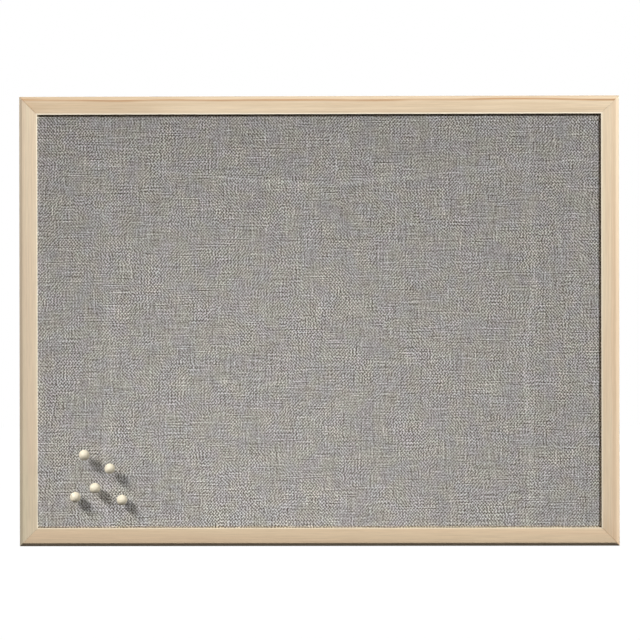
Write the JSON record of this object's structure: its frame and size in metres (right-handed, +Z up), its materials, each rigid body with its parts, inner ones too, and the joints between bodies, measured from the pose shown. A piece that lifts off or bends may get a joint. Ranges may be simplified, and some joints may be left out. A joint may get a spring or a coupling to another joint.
{
  "type": "framed fabric pinboard",
  "caption": "Landscape pinboard: fabric-covered soft core in a mitred pine frame, wooden ball pins that push in and pull out, swinging ring hangers on the back.",
  "frame": {"origin": "middle of the top rail's back face, in the plane that lies along the wall", "axes": "+X to the right seen from the front, +Y into the wall, +Z up"},
  "size_m": [0.6, 0.0381, 0.45],
  "materials": {
    "pine": "sanded, clear matt lacquer",
    "linen": "grey linen-look plain weave",
    "softboard": "pressed wood fibre",
    "hardboard": "smooth-faced hardboard",
    "spring_steel": "blued strip steel",
    "zinc_steel": "bright zinc plate",
    "ball_wood": "turned and sanded, unlacquered",
    "needle_steel": "polished"
  },
  "bodies": {
    "board": {"top_rail": "pine", "bottom_rail": "pine", "left_stile": "pine", "right_stile": "pine", "v_nail_top_right_outer": "spring_steel", "v_nail_top_right_inner": "spring_steel", "v_nail_bottom_right_outer": "spring_steel", "v_nail_bottom_right_inner": "spring_steel", "v_nail_bottom_left_outer": "spring_steel", "v_nail_bottom_left_inner": "spring_steel", "v_nail_top_left_outer": "spring_steel", "v_nail_top_left_inner": "spring_steel", "fabric_cover": "linen", "pin_core": "softboard", "backing_board": "hardboard", "point_top_1": "spring_steel", "point_top_2": "spring_steel", "point_top_3": "spring_steel", "point_bottom_1": "spring_steel", "point_bottom_2": "spring_steel", "point_bottom_3": "spring_steel", "point_left_1": "spring_steel", "point_left_2": "spring_steel", "point_right_1": "spring_steel", "point_right_2": "spring_steel", "hanger_strap_left": "zinc_steel", "hanger_strap_right": "zinc_steel", "hanger_screw_left_upper": "zinc_steel", "hanger_screw_left_lower": "zinc_steel", "hanger_screw_right_upper": "zinc_steel", "hanger_screw_right_lower": "zinc_steel"},
    "ring_left": {"hanger_ring_left": "zinc_steel"},
    "ring_right": {"hanger_ring_right": "zinc_steel"},
    "pin_1": {"pin_head_1": "ball_wood", "pin_needle_1": "needle_steel"},
    "pin_2": {"pin_head_2": "ball_wood", "pin_needle_2": "needle_steel"},
    "pin_3": {"pin_head_3": "ball_wood", "pin_needle_3": "needle_steel"},
    "pin_4": {"pin_head_4": "ball_wood", "pin_needle_4": "needle_steel"},
    "pin_5": {"pin_head_5": "ball_wood", "pin_needle_5": "needle_steel"}
  },
  "joints": [
    {"name": "ring_left_swing", "type": "hinge", "parent": "board", "child": "ring_left", "pos_m": [-0.2937, 0.00215, -0.06975], "axis": [1, 0, 0], "range_deg": [0, 180]},
    {"name": "ring_right_swing", "type": "hinge", "parent": "board", "child": "ring_right", "pos_m": [0.2937, 0.00215, -0.06975], "axis": [1, 0, 0], "range_deg": [0, 180]},
    {"name": "pin_1_slide", "type": "slide", "parent": "board", "child": "pin_1", "axis": [-0.0349, -0.998, 0.0523], "range_m": [-0.0068, 0.0048]},
    {"name": "pin_2_slide", "type": "slide", "parent": "board", "child": "pin_2", "axis": [0.0523, -0.998, 0.0349], "range_m": [-0.0061, 0.0055]},
    {"name": "pin_3_slide", "type": "slide", "parent": "board", "child": "pin_3", "axis": [-0.0262, -0.9987, -0.0436], "range_m": [-0.0041, 0.0075]},
    {"name": "pin_4_slide", "type": "slide", "parent": "board", "child": "pin_4", "axis": [-0.0523, -0.9983, 0.0261], "range_m": [-0.0033, 0.0083]},
    {"name": "pin_5_slide", "type": "slide", "parent": "board", "child": "pin_5", "axis": [0.0436, -0.9984, -0.0349], "range_m": [-0.0029, 0.0087]}
  ]
}
